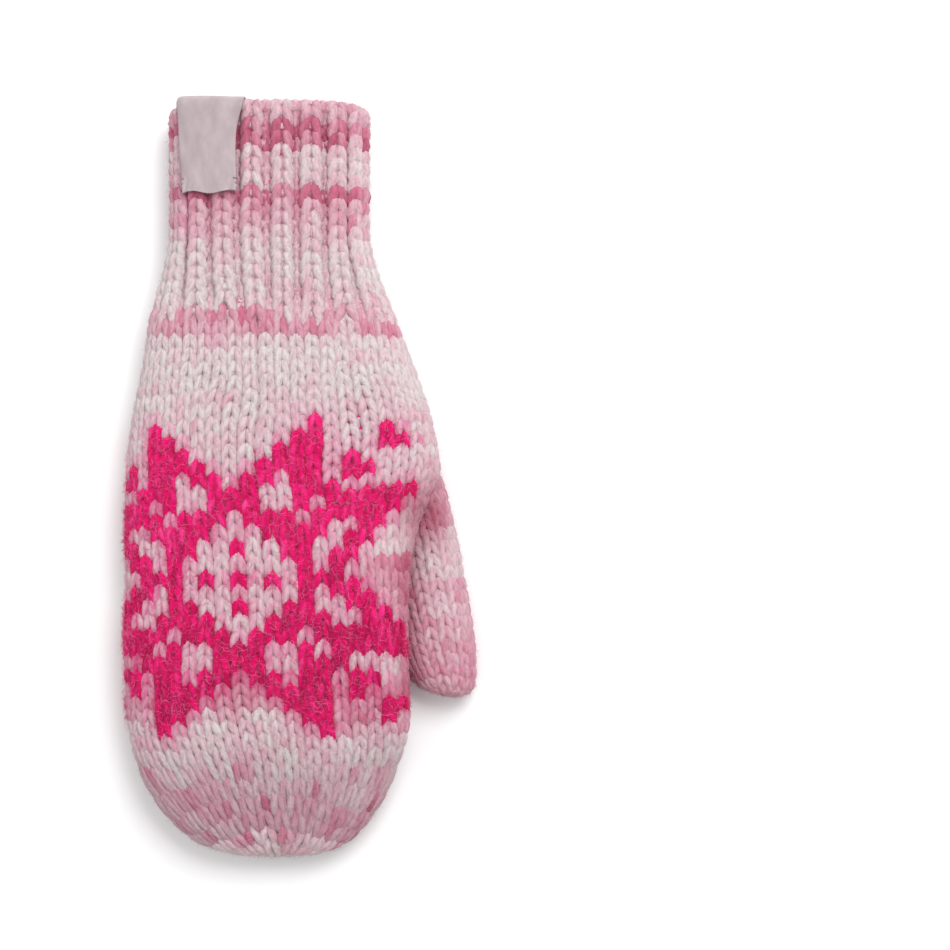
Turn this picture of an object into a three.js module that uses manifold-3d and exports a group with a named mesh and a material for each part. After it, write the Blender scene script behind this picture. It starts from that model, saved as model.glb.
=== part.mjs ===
// A chunky knitted mitten for the right hand, lying palm down with its thumb tucked half under the hand.
// Millimetres. +Y runs from the fingertips to the wrist, +X to the thumb's side, +Z up from the surface.
// The origin is the middle of the bounding box, at the height of the surface that the mitten lies on.
import * as THREE from "three";
import { ParametricGeometry } from "three/addons/geometries/ParametricGeometry.js";
import { mergeVertices } from "three/addons/utils/BufferGeometryUtils.js";
import Module from "manifold-3d";

// Driving dimensions of the ribbed cuff.
const CUFF_LENGTH = 75.5;
const CUFF_WIDTH = 70;
const CUFF_HEIGHT = 26;
const RIB_COUNT = 20;
const RIB_RELIEF = 1.7;

// Driving dimensions of the hand, a plain knitted bag from the cuff to the gathered tip.
const HAND_LENGTH = 184;
const HAND_WIDTH = 100;
const HAND_HEIGHT = 28.5;
const GATHER_COUNT = 10;
const GATHER_RELIEF = 1.2;

// Driving dimensions of the thumb, a knitted tube with a rounded tip.
const THUMB_WIDTH = 31;
const THUMB_HEIGHT = 17.5;

// The knitted fabric, and how far its underside is pressed flat where it lies.
const KNIT_THICKNESS = 4;
const REST_SAG = 1;

// The woven label, a tape folded over the cuff's edge.
const LABEL_WIDTH = 21;
const LABEL_DROP = 32;
const LABEL_THICKNESS = 1;
const LABEL_TURN = -0.095;

// Clearance between neighbouring pieces.
const GAP = 0.3;

// Fineness of the surfaces.
const POINTS_PER_RIB = 6;
const POINTS_PER_GATHER = 6;
const HAND_RINGS = 26;
const HAND_LINING_RINGS = 14;
const CUFF_RINGS = 9;
const CUFF_LINING_RINGS = 5;
const THUMB_POINTS = 28;
const THUMB_RINGS = 15;
const THUMB_LINING_RINGS = 11;
const LABEL_STRIPS = 6;
const EDGE_STEPS = 3;

// Roundness of a section: 0 is an ellipse, and more is squarer at the corners.
const SQUARENESS = 0.04;
// How far the stitches are evened out round a flattened section: 0 crowds them at its sides.
const EVEN_CUFF = 0.1;
const EVEN_HAND = 0.22;

// The cuff from its free edge to the hand. along is a share of its length, and flare goes from the
// cuff's own section at 0 to the hand's first section at 1.
const CUFF_SECTIONS = [
  { along: 0, flare: 0 },
  { along: 0.35, flare: 0 },
  { along: 0.62, flare: 0.02 },
  { along: 0.8, flare: 0.4 },
  { along: 0.9, flare: 0.71 },
  { along: 1, flare: 1 },
];

// The hand from the cuff to the tip, seen from above. along is a share of its length, left and right
// are the edges' distances from the middle line as shares of its width, height is a share of its height,
// and rise is how far the underside curls up from the surface, as a share of the height.
const HAND_SECTIONS = [
  { along: 0, left: 0.418, right: 0.443, height: 0.95, rise: 0 },
  { along: 0.044, left: 0.428, right: 0.475, height: 0.97, rise: 0 },
  { along: 0.097, left: 0.443, right: 0.512, height: 0.99, rise: 0 },
  { along: 0.171, left: 0.471, right: 0.556, height: 1, rise: 0 },
  { along: 0.235, left: 0.486, right: 0.581, height: 1, rise: 0 },
  { along: 0.28, left: 0.491, right: 0.589, height: 1, rise: 0 },
  { along: 0.33, left: 0.494, right: 0.552, height: 1, rise: 0 },
  { along: 0.4, left: 0.496, right: 0.506, height: 1, rise: 0 },
  { along: 0.5, left: 0.498, right: 0.486, height: 1, rise: 0 },
  { along: 0.6, left: 0.5, right: 0.482, height: 1, rise: 0 },
  { along: 0.7, left: 0.496, right: 0.49, height: 0.98, rise: 0 },
  { along: 0.77, left: 0.481, right: 0.477, height: 0.94, rise: 0 },
  { along: 0.83, left: 0.452, right: 0.44, height: 0.87, rise: 0.02 },
  { along: 0.88, left: 0.411, right: 0.404, height: 0.78, rise: 0.04 },
  { along: 0.92, left: 0.358, right: 0.357, height: 0.68, rise: 0.07 },
  { along: 0.953, left: 0.296, right: 0.306, height: 0.56, rise: 0.11 },
  { along: 0.978, left: 0.226, right: 0.246, height: 0.42, rise: 0.15 },
  { along: 0.993, left: 0.132, right: 0.164, height: 0.26, rise: 0.2 },
  { along: 1, left: -0.025, right: 0.025, height: 0, rise: 0.3 },
];

// The thumb's middle line. across is a share of the hand's width from the middle line, along a share of
// the hand's length, and settle goes from the height of the hand's middle at 0 to lying on the surface at 1.
const THUMB_LINE = [
  { across: 0.36, along: 0.15, settle: 0 },
  { across: 0.405, along: 0.245, settle: 0.35 },
  { across: 0.468, along: 0.355, settle: 0.9 },
  { across: 0.531, along: 0.515, settle: 1 },
  { across: 0.574, along: 0.625, settle: 1 },
  { across: 0.612, along: 0.708, settle: 1 },
];

// The thumb's sections along that line, from its root inside the hand to its tip, as shares of its
// width and height.
const THUMB_SECTIONS = [
  { along: 0, width: 0.9, height: 0.9 },
  { along: 0.2, width: 1, height: 1 },
  { along: 0.5, width: 1, height: 1 },
  { along: 0.68, width: 0.98, height: 1 },
  { along: 0.8, width: 0.94, height: 0.98 },
  { along: 0.88, width: 0.87, height: 0.92 },
  { along: 0.94, width: 0.77, height: 0.81 },
  { along: 0.98, width: 0.54, height: 0.58 },
  { along: 1, width: 0, height: 0 },
];

// How wide the ramp is that lifts the hand's edge onto the thumb, and how much of that lift is taken
// up by the hand growing thinner there.
const BED_RAMP = 20;
const BED_SQUEEZE = 0.8;
// The share of the hand's length over which the hand climbs onto the thumb, and comes down past its tip.
const BED_START = 0.3;
const BED_CLIMB = 0.14;
const BED_FALL = 0.16;

// Where along the hand the gathers of the tip begin, and where along the cuff the ribs fade out.
const GATHER_START = 0.9;
const RIB_FADE = 0.86;

const wasm = await Module();
wasm.setup();

const TAU = 2 * Math.PI;
const { lerp, smoothstep, clamp } = THREE.MathUtils;
const RIB_WALL = KNIT_THICKNESS + RIB_RELIEF;
const HAND_START = CUFF_LENGTH + GAP;

// Reads a table at place, from 0 at its first row to 1 at its last, as smooth curves through its rows.
function readTable(rows, place) {
  const last = rows.length - 1;
  const at = clamp(place, 0, 1) * last;
  const i = Math.min(Math.floor(at), last - 1);
  const t = at - i;
  const row = {};
  for (const column of Object.keys(rows[0])) {
    const value = (n) => rows[clamp(n, 0, last)][column];
    const slopeIn = (value(i + 1) - value(i - 1)) / 2;
    const slopeOut = (value(i + 2) - value(i)) / 2;
    row[column] =
      value(i) * (1 + t * t * (2 * t - 3)) +
      value(i + 1) * t * t * (3 - 2 * t) +
      slopeIn * t * (1 - t) * (1 - t) -
      slopeOut * t * t * (1 - t);
  }
  return row;
}

// The place in a table where its column "along" reaches a share, found by halving.
function placeOf(rows, share) {
  let low = 0;
  let high = 1;
  for (let i = 0; i < 24; i++) {
    const middle = (low + high) / 2;
    if (readTable(rows, middle).along < share) low = middle;
    else high = middle;
  }
  return (low + high) / 2;
}

// Half a width taken in by a wall's thickness. It stays positive where the section is small.
function takeIn(half, inset) {
  return inset > 0 ? half - inset * (1 - Math.exp(-half / inset)) : half - inset;
}

// A point of a flattened round section. turn goes once round from the top by way of the thumb's side.
// liftAt gives how far the section is lifted at a distance from the middle line, and it is squeezed there.
function sectionPoint(section, turn, inset, liftAt = () => 0) {
  const angle = TAU * turn - section.even * Math.sin(2 * TAU * turn);
  const across = (Math.sin(angle) + SQUARENESS * Math.sin(3 * angle)) / (1 - SQUARENESS);
  const up = (Math.cos(angle) - SQUARENESS * Math.cos(3 * angle)) / (1 - SQUARENESS);
  const halfWidth = takeIn((section.left + section.right) / 2, inset);
  const x = (section.right - section.left) / 2 + halfWidth * across;
  const lift = liftAt(x);
  const squeeze = 1 - (BED_SQUEEZE * lift) / HAND_HEIGHT;
  const middle = (section.rise + section.height / 2 - REST_SAG) * squeeze;
  return { x, z: lift + middle + takeIn((section.height / 2) * squeeze, inset) * up };
}

function handSection(place) {
  const row = readTable(HAND_SECTIONS, place);
  return {
    along: row.along * HAND_LENGTH,
    left: row.left * HAND_WIDTH,
    right: row.right * HAND_WIDTH,
    height: Math.max(row.height, 0) * HAND_HEIGHT,
    rise: row.rise * HAND_HEIGHT,
    even: EVEN_HAND,
  };
}

function cuffSection(place) {
  const row = readTable(CUFF_SECTIONS, place);
  const hand = handSection(0);
  return {
    along: row.along * CUFF_LENGTH,
    left: lerp(CUFF_WIDTH / 2, hand.left, row.flare),
    right: lerp(CUFF_WIDTH / 2, hand.right, row.flare),
    height: lerp(CUFF_HEIGHT, hand.height, row.flare),
    rise: 0,
    even: lerp(EVEN_CUFF, EVEN_HAND, row.flare),
  };
}

// The thumb's middle point, side and up directions and half sizes, at a share of the way along it.
const thumbCurve = new THREE.CatmullRomCurve3(
  THUMB_LINE.map(
    ({ across, along, settle }) =>
      new THREE.Vector3(
        across * HAND_WIDTH,
        -HAND_START - along * HAND_LENGTH,
        lerp(HAND_HEIGHT / 2, THUMB_HEIGHT / 2, settle) - REST_SAG,
      ),
  ),
);

function thumbFrame(place, inset) {
  const row = readTable(THUMB_SECTIONS, place);
  const reach = clamp(row.along, 0, 1) * (1 - Math.max(inset, 0) / thumbCurve.getLength());
  const tangent = thumbCurve.getTangentAt(reach);
  const side = new THREE.Vector3(0, 0, 1).cross(tangent).normalize();
  return {
    middle: thumbCurve.getPointAt(reach),
    side,
    up: tangent.clone().cross(side),
    halfWidth: takeIn((Math.max(row.width, 0) * THUMB_WIDTH) / 2, inset),
    halfHeight: takeIn((Math.max(row.height, 0) * THUMB_HEIGHT) / 2, inset),
  };
}

// How far the hand is lifted at a point by the thumb that lies under its edge.
function bedLift(x, along) {
  const share = along / HAND_LENGTH;
  const tip = THUMB_LINE[THUMB_LINE.length - 1].along;
  const climb = smoothstep(share, BED_START, BED_START + BED_CLIMB);
  const fall = 1 - smoothstep(share, tip, tip + BED_FALL);
  const lineShare = clamp(share, THUMB_LINE[0].along, tip);
  const across = readTable(THUMB_LINE, placeOf(THUMB_LINE, lineShare)).across * HAND_WIDTH;
  const edge = across - THUMB_WIDTH / 2;
  return (THUMB_HEIGHT - REST_SAG + GAP) * climb * fall * smoothstep(x, edge - BED_RAMP, edge);
}

// A point of the hand, with its outside pressed flat on the surface and its edge lifted by the thumb.
function handPoint(place, turn, inset) {
  const section = handSection(place);
  const gather =
    GATHER_RELIEF *
    smoothstep(section.along / HAND_LENGTH, GATHER_START, 1) *
    (0.5 + 0.5 * Math.cos(TAU * GATHER_COUNT * turn));
  const along = section.along * (1 - Math.max(inset, 0) / HAND_LENGTH);
  const liftAt = (x) => bedLift(x, along);
  if (inset > 0) {
    const { x, z } = sectionPoint(section, turn, inset, liftAt);
    return new THREE.Vector3(x, -HAND_START - along, z);
  }
  const { x, z } = sectionPoint(section, turn, inset + gather, liftAt);
  return new THREE.Vector3(x, -HAND_START - along, Math.max(z, inset));
}

// The depth of the grooves between the ribs.
function ribDepth(turn, along) {
  const fade = 1 - smoothstep(along / CUFF_LENGTH, RIB_FADE, 1);
  return RIB_RELIEF * fade * (0.5 + 0.5 * Math.cos(TAU * RIB_COUNT * turn));
}

// A point of the cuff. follow is how much of the ribs' relief the surface takes: 1 on the knitting.
function cuffPoint(place, turn, inset, follow = 1) {
  const section = cuffSection(place);
  const depth = inset + follow * ribDepth(turn, section.along);
  const { x, z } = sectionPoint(section, turn, depth);
  const resting = follow === 1 && inset < KNIT_THICKNESS / 2;
  return new THREE.Vector3(x, -section.along, resting ? Math.max(z, 0) : z);
}

// A closed geometry as a solid: shared vertices are merged and collapsed faces dropped.
function solidOf(geometry) {
  const bare = geometry.clone();
  bare.deleteAttribute("normal");
  bare.deleteAttribute("uv");
  const merged = mergeVertices(bare, 1e-3);
  const corners = merged.index.array;
  const kept = [];
  for (let i = 0; i < corners.length; i += 3) {
    const [a, b, c] = corners.slice(i, i + 3);
    if (a !== b && b !== c && c !== a) kept.push(a, b, c);
  }
  const vertProperties = merged.attributes.position.array;
  const mesh = new wasm.Mesh({ numProp: 3, vertProperties, triVerts: new Uint32Array(kept) });
  return new wasm.Manifold(mesh);
}

function geometryOf(solid) {
  const mesh = solid.getMesh();
  const geometry = new THREE.BufferGeometry();
  geometry.setAttribute("position", new THREE.BufferAttribute(mesh.vertProperties, 3));
  geometry.setIndex(new THREE.BufferAttribute(mesh.triVerts, 1));
  return geometry;
}

// A surface swept once round by turn, through stations that each give a point for every turn.
function sweep(stations, points) {
  const rows = stations.length - 1;
  const place = (turn, along, target) => target.copy(stations[Math.round(along * rows)](turn % 1));
  return new ParametricGeometry(place, points, rows);
}

// Stations from one share to another, both included.
function spaced(count, from, to, station) {
  return Array.from({ length: count + 1 }, (_, i) => station(lerp(from, to, i / count)));
}

// The point where a closed end shrinks to nothing, as a station.
function pole(point) {
  const middle = point(0).add(point(0.5)).multiplyScalar(0.5);
  return () => middle;
}

// A bag, open at its mouth: its outside from the tip to the mouth, then its lining back to the tip.
function bag(pointAt, rings, liningRings, points, thickness) {
  const outside = spaced(rings - 1, 1 - 1 / rings, 0, (place) => (turn) => pointAt(place, turn, 0));
  const lining = spaced(
    liningRings - 1,
    0,
    1 - 1 / liningRings,
    (place) => (turn) => pointAt(place, turn, thickness),
  );
  const outerTip = pole((turn) => pointAt(1, turn, 0));
  const innerTip = pole((turn) => pointAt(1, turn, thickness));
  return sweep([outerTip, ...outside, ...lining, innerTip], points);
}

// A filled bag, closed across its mouth.
function plug(pointAt, rings, points, inset) {
  const outside = spaced(rings - 1, 1 - 1 / rings, 0, (place) => (turn) => pointAt(place, turn, inset));
  const tip = pole((turn) => pointAt(1, turn, inset));
  const mouth = pole((turn) => pointAt(0, turn, inset));
  return sweep([tip, ...outside, mouth], points);
}

function thumbPoint(place, turn, inset) {
  const frame = thumbFrame(place, inset);
  const point = frame.middle
    .clone()
    .addScaledVector(frame.side, frame.halfWidth * Math.sin(TAU * turn))
    .addScaledVector(frame.up, frame.halfHeight * Math.cos(TAU * turn));
  if (inset <= 0) point.z = Math.max(point.z, 0);
  return point;
}

// The cuff's wall: outside from the hand to the free edge, round that edge, and back along the lining.
function cuffGeometry() {
  const edge = RIB_WALL / 2;
  const edgeShare = edge / CUFF_LENGTH;
  const outside = spaced(CUFF_RINGS, 1, edgeShare, (share) => {
    const place = placeOf(CUFF_SECTIONS, share);
    return (turn) => cuffPoint(place, turn, 0);
  });
  const rounding = spaced(EDGE_STEPS - 1, 1 / (EDGE_STEPS + 1), EDGE_STEPS / (EDGE_STEPS + 1), (arc) => {
    const angle = arc * Math.PI;
    const place = placeOf(CUFF_SECTIONS, edgeShare * (1 - Math.sin(angle)));
    return (turn) => cuffPoint(place, turn, (KNIT_THICKNESS * (1 - Math.cos(angle))) / 2);
  });
  const lining = spaced(CUFF_LINING_RINGS, edgeShare, 1, (share) => {
    const place = placeOf(CUFF_SECTIONS, share);
    return (turn) => cuffPoint(place, turn, KNIT_THICKNESS);
  });
  const stations = [...outside, ...rounding, ...lining];
  return sweep([...stations, stations[0]], RIB_COUNT * POINTS_PER_RIB);
}

// The label's folded profile, extruded across its width and then laid on the cuff's curve.
// In the profile, X is the distance from the cuff's edge towards the hand, and Y the depth into its wall.
function labelGeometry() {
  const middle = RIB_WALL / 2;
  const inner = middle + GAP;
  const outer = inner + LABEL_THICKNESS;
  const profile = new THREE.Shape();
  profile.moveTo(LABEL_DROP, middle - outer);
  profile.lineTo(middle, middle - outer);
  profile.absarc(middle, middle, outer, -Math.PI / 2, Math.PI / 2, true);
  profile.lineTo(LABEL_DROP, middle + outer);
  profile.lineTo(LABEL_DROP, middle + inner);
  profile.lineTo(middle, middle + inner);
  profile.absarc(middle, middle, inner, Math.PI / 2, -Math.PI / 2, false);
  profile.lineTo(LABEL_DROP, middle - inner);
  profile.closePath();
  const geometry = new THREE.ExtrudeGeometry(profile, {
    depth: LABEL_WIDTH,
    steps: LABEL_STRIPS,
    bevelEnabled: false,
    curveSegments: 6,
  });
  const step = 1e-3;
  const near = cuffPoint(0, LABEL_TURN - step, 0, 0);
  const turnPerWidth = (2 * step) / near.distanceTo(cuffPoint(0, LABEL_TURN + step, 0, 0));
  const position = geometry.getAttribute("position");
  for (let i = 0; i < position.count; i++) {
    const turn = LABEL_TURN + (position.getZ(i) - LABEL_WIDTH / 2) * turnPerWidth;
    const along = position.getX(i);
    const place = placeOf(CUFF_SECTIONS, Math.max(along, 0) / CUFF_LENGTH);
    const point = cuffPoint(place, turn, position.getY(i), 0);
    position.setXYZ(i, point.x, -along, point.z);
  }
  return geometry;
}

const handPoints = GATHER_COUNT * POINTS_PER_GATHER;
const handBag = bag(handPoint, HAND_RINGS, HAND_LINING_RINGS, handPoints, KNIT_THICKNESS);
const thumbBag = bag(thumbPoint, THUMB_RINGS, THUMB_LINING_RINGS, THUMB_POINTS, KNIT_THICKNESS);
const thumbHollow = plug(thumbPoint, THUMB_LINING_RINGS, THUMB_POINTS, KNIT_THICKNESS);
const handGrown = plug(handPoint, HAND_RINGS, handPoints, -GAP);

const hand = solidOf(handBag).subtract(solidOf(thumbHollow));
const thumb = solidOf(thumbBag).subtract(solidOf(handGrown));

// The knitted pieces share one yarn finish, in the shades that show most on each.
function yarn(color) {
  return new THREE.MeshStandardMaterial({ color, roughness: 0.95, metalness: 0 });
}
const labelTape = new THREE.MeshStandardMaterial({ color: 0xc9b9bd, roughness: 0.6, metalness: 0 });

const pieces = [
  { name: "cuff", geometry: cuffGeometry(), material: yarn(0xe0b4c0) },
  { name: "hand", geometry: geometryOf(hand), material: yarn(0xe3c3cc) },
  { name: "thumb", geometry: geometryOf(thumb), material: yarn(0xd9a9ba) },
  { name: "label", geometry: labelGeometry(), material: labelTape },
];

const mitten = new THREE.Group();
for (const { name, geometry, material } of pieces) {
  const mesh = new THREE.Mesh(geometry, material);
  mesh.name = name;
  mitten.add(mesh);
}

const box = new THREE.Box3().setFromObject(mitten);
const centre = box.getCenter(new THREE.Vector3());
mitten.position.set(-centre.x, -centre.y, -box.min.z);

const part = new THREE.Group();
part.add(mitten);
export default part;
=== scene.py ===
"""A chunky knitted mitten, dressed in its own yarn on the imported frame.

Every stitch is a loop of yarn on a smooth surface, which is the part's own surface: the same tables
and formulas as in the part's source. Lengths are in millimetres until new_mesh moves them to the frame. A
place on the knitting is given by its course, which is its row of stitches counted from the cuff's free
edge, its turn, which goes once round from the middle of the back by way of the thumb's side, and its depth
below the outer surface.
"""

import bpy
import numpy as np
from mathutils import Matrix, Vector


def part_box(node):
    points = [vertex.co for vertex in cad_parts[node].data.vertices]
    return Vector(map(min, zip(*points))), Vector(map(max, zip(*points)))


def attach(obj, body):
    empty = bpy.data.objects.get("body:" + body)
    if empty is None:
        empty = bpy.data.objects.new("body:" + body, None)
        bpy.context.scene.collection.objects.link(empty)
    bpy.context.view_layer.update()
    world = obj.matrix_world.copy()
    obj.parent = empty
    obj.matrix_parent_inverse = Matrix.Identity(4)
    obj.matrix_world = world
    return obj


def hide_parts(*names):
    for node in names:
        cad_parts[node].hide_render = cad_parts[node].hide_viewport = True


MM = 0.001
TAU = 2 * np.pi

# The part's own sizes, in millimetres.
CUFF_LENGTH = 75.5
CUFF_WIDTH = 70.0
CUFF_HEIGHT = 26.0
RIB_COUNT = 20
HAND_LENGTH = 184.0
HAND_WIDTH = 100.0
HAND_HEIGHT = 28.5
THUMB_WIDTH = 31.0
THUMB_HEIGHT = 17.5
REST_SAG = 1.0
GAP = 0.3
SQUARENESS = 0.04
EVEN_CUFF = 0.1
EVEN_HAND = 0.22
BED_RAMP = 20.0
BED_SQUEEZE = 0.8
BED_START = 0.3
BED_CLIMB = 0.14
BED_FALL = 0.16
RIB_FADE = 0.86
LABEL_WIDTH = 21.0
LABEL_DROP = 32.0
LABEL_TURN = -0.095
RIB_WALL = 5.7

# along, flare
CUFF_SECTIONS = np.array([
    (0.0, 0.0),
    (0.35, 0.0),
    (0.62, 0.02),
    (0.8, 0.4),
    (0.9, 0.71),
    (1.0, 1.0),
])

# along, left, right, height, rise
HAND_SECTIONS = np.array([
    (0.0, 0.418, 0.443, 0.95, 0.0),
    (0.044, 0.428, 0.475, 0.97, 0.0),
    (0.097, 0.443, 0.512, 0.99, 0.0),
    (0.171, 0.471, 0.556, 1.0, 0.0),
    (0.235, 0.486, 0.581, 1.0, 0.0),
    (0.28, 0.491, 0.589, 1.0, 0.0),
    (0.33, 0.494, 0.552, 1.0, 0.0),
    (0.4, 0.496, 0.506, 1.0, 0.0),
    (0.5, 0.498, 0.486, 1.0, 0.0),
    (0.6, 0.5, 0.482, 1.0, 0.0),
    (0.7, 0.496, 0.49, 0.98, 0.0),
    (0.77, 0.481, 0.477, 0.94, 0.0),
    (0.83, 0.452, 0.44, 0.87, 0.02),
    (0.88, 0.411, 0.404, 0.78, 0.04),
    (0.92, 0.358, 0.357, 0.68, 0.07),
    (0.953, 0.296, 0.306, 0.56, 0.11),
    (0.978, 0.226, 0.246, 0.42, 0.15),
    (0.993, 0.132, 0.164, 0.26, 0.2),
    (1.0, -0.025, 0.025, 0.0, 0.3),
])

# across, along, settle
THUMB_LINE = np.array([
    (0.36, 0.15, 0.0),
    (0.405, 0.245, 0.35),
    (0.468, 0.355, 0.9),
    (0.531, 0.515, 1.0),
    (0.574, 0.625, 1.0),
    (0.612, 0.708, 1.0),
])

# along, width, height
THUMB_SECTIONS = np.array([
    (0.0, 0.9, 0.9),
    (0.2, 1.0, 1.0),
    (0.5, 1.0, 1.0),
    (0.68, 0.98, 1.0),
    (0.8, 0.94, 0.98),
    (0.88, 0.87, 0.92),
    (0.94, 0.77, 0.81),
    (0.98, 0.54, 0.58),
    (1.0, 0.0, 0.0),
])

# How the mitten is knitted.
CUFF_WALES = 2 * RIB_COUNT
CUFF_COURSES = 16
HAND_WALES = 42
HAND_COURSES = 34
COURSE_HEIGHT = 4.74
TIP_ROUNDS = (32, 28, 22, 16, 9)
THUMB_TIP_ROUNDS = (13, 10, 6)
THUMB_WALES = 16
THUMB_COURSES = 18
YARN_RADIUS = 1.46
LOOP_DEPTH = 0.72
LOOP_REACH = 0.88
LOOP_SPREAD = 0.19
RIB_CROWD = 0.215
RIB_DEPTH = 2.8
TIP_THICK = 1.04
CUFF_THICK = 1.12
PURL = 0.1
ROUGHNESS = 0.04

# Chance's part in a stitch: its head's place, spread and reach, its thickness and its depth.
UNEVEN = {"spread": 0.012, "place": 0.05, "reach": 0.04, "thickness": 0.06, "depth": 0.08}

# Points along a stitch and round the yarn, and points round a surface.
STEPS = 16
SIDES = 7
SURFACE_TURNS = 240

# How many courses the rows ride up beside the thumb, and hang down over the star's other side.
THUMB_RISE = 1.15
SIDE_HANG = 0.5

# How far the thumb's end is pulled towards the wrist beside the hand, and pushed out on its other side.
TIP_PULL = 5.4
TIP_PUSH = 1.6

# The lowest height of any point, over the floor.
FLOOR_CLEAR = 0.02

# How many hairs each fabric's nap starts with, how thick they are, and their least and greatest length.
CUFF_HAIRS = 8000
HAND_HAIRS = 17000
THUMB_HAIRS = 5000
STAR_HAIRS = 19000
HAIR_RADIUS = 0.05
STAR_HAIR_RADIUS = 0.06
HAIR_LENGTHS = (1.6, 3.6)
STAR_HAIR_LENGTHS = (2.0, 4.2)

# The loose fibres over the star: how many, their points along, their radius, their least and greatest
# length and height, and how much their ways bend.
STAR_FIBRES = 2200
FIBRE_RINGS = 7
FIBRE_RADIUS = 0.055
FIBRE_LENGTHS = (3.5, 7.0)
FIBRE_HEIGHTS = (0.3, 1.5)
FIBRE_CURL = 1.6

# The label's tape: its thickness, its points across, how far it is shifted and how far its left edge
# leans out at the top and in at the bottom, as shares of its width, and its tacking thread's radius.
TAPE_THICKNESS = 0.5
TAPE_COLUMNS = 29
TAPE_SHIFT = 0.07
LEAN_TOP = 0.1
LEAN_BOTTOM = 0.07
TACK_RADIUS = 0.21

# How the cuff's free edge is rounded: over its rim, and at the corners of its outline.
RIM_RADIUS = 3.1
CORNER_ROUND = 3.0

# course, across, pitch: the line of the star's middle wale on the back, and its wales' width.
STAR_LINE = np.array([
    (16.0, -10.9, 5.2),
    (23.0, -9.9, 5.27),
    (45.0, -6.5, 5.5),
    (55.0, 2.0, 5.5),
])

# The star's middle course, and a course before its first.
STAR_COURSE = 34
STAR_FIRST = 21

# course, wale, across, up: how far the star's stitches have crept from even rows, in wales and courses.
STAR_CREEP = np.array([
    (16.0, 0.0, 0.0, 0.0), (22.5, -5.0, -0.25, 0.0), (22.5, 5.0, 0.0, 0.25), (24.0, -3.5, -0.55, 0.0),
    (25.5, -2.0, -0.6, 0.0), (27.0, 0.0, -0.55, 0.0), (27.0, 3.0, -0.3, 0.25), (24.5, 9.5, 0.6, 0.4),
    (26.5, 9.5, 0.0, 0.4), (29.5, -2.5, -0.65, 0.45), (30.5, -4.0, -0.4, 0.3), (29.5, 2.5, 0.0, 0.6),
    (31.0, 0.0, -0.3, 0.45), (31.0, 7.0, 0.0, 0.6), (29.5, 11.0, -0.35, 0.4), (34.0, 0.0, -0.22, 0.1),
    (34.0, -3.0, -0.28, 0.0), (34.0, 3.0, 0.0, 0.0), (37.0, 7.0, 0.0, 0.3), (41.0, -2.5, -0.5, 0.0),
    (41.0, 2.5, -0.2, 0.0), (45.0, -5.0, -0.3, -0.25), (45.0, 5.0, -0.1, -0.2), (50.0, 0.0, 0.0, 0.0),
])

# The star's lower right quarter, row by row from its middle course. X is a bright stitch.
STAR = (
    "X.X.XXX.....",
    "....X.XX....",
    "X..XX..XX...",
    "..XXXX..XX..",
    ".XXX.XXXXXX.",
    "XX..X.XXXXXX",
    "XX..XXX.....",
    ".XX.XX.XX...",
    "..XXXX.X....",
    "...XXX...XX.",
    "....XX...X..",
    ".....X......",
)

# The yarn's shades from off-white at 0 through pink to mauve at 4, in sRGB from 0 to 1.
SHADES = np.array([
    (0.82, 0.785, 0.78),
    (0.825, 0.715, 0.74),
    (0.80, 0.59, 0.65),
    (0.755, 0.42, 0.515),
    (0.64, 0.30, 0.40),
])
# The star's yarn, from its deepest shade at 0 to its palest loose fibres at 3.
BRIGHT = np.array([
    (0.62, 0.0, 0.26),
    (0.91, 0.0, 0.42),
    (0.97, 0.32, 0.62),
    (0.97, 0.60, 0.78),
])

# course, wale, shade: where the yarn turns deeper for part of the way round, over so many of each.
SIDE_STRIPES = (
    (34.6, 10.5, 2.0),
    (36.0, 13.0, 1.0),
)
STRIPE_COURSES = 1.1
STRIPE_WALES = 3.5

# wales, size: the lengths of yarn over which chance moves a stripe's edge and changes the shade.
EDGE_CHANCE = ((6, 0.35), (1.3, 0.35))
SHADE_CHANCE = ((1.6, 0.26), (0.35, 0.22))
FLECK_CHANCE = (0.4, 1.0)

# How much of the star's colour the stitches beside, above and below a bright one have.
HAZE_BESIDE = 0.06
HAZE_OVER = 0.045

# Painted shade in the crease beside the thumb: the tint that darkens the yarn's colour there, and how far it
# reaches from the hand's edge.
CREASE_SHADE_TINT = (0.83, 0.65, 0.70)
CREASE_SHADE_ON_HAND = 7.5
CREASE_SHADE_ON_THUMB = 6.5
# How much darker the yarn is painted above the tip, as shade, and the first course past that.
TIP_SHADE = 0.09
TIP_SHADE_END = 52
# Where the yarn over the thumb's root is matted and painted with the crease's shade, across and along.
MATTED_AND_SHADED_SPOT = (53.4, -141.5)

# course, shade: how the stripes follow each other from the cuff's edge to the tip.
STRIPES = np.array([
    (-2.0, 1.5), (0.0, 1.4), (1.2, 1.9), (1.6, 3.5), (2.4, 3.4), (2.9, 0.9), (5.4, 0.8), (5.9, 1.2),
    (6.3, 3.0), (7.2, 1.9), (8.6, 1.2), (9.2, 1.8), (9.9, 0.5), (13.4, 0.35), (14.2, 0.8), (15.3, 1.1),
    (15.8, 2.1), (16.6, 2.0), (17.0, 0.6), (17.6, 0.3), (20.8, 0.2), (21.6, 0.6), (25.5, 0.7),
    (28.7, 0.8), (30.8, 1.2), (33.0, 0.4), (35.0, 1.0), (37.2, 0.5), (40.3, 0.9), (42.3, 2.4),
    (44.4, 2.0), (45.4, 0.9), (46.2, 0.5), (48.6, 0.9), (49.9, 1.5), (51.8, 1.5), (52.6, 0.4),
    (56.0, 0.3),
])

# course, shade: the thumb's stripes from its root to its tip.
THUMB_STRIPES = np.array([
    (0.0, 1.0), (2.0, 1.7), (5.0, 1.9), (6.4, 0.9), (10.0, 0.8), (11.0, 1.5), (14.6, 1.6), (15.6, 2.0),
    (17.0, 1.7), (18.4, 2.1), (21.0, 1.6),
])

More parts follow.
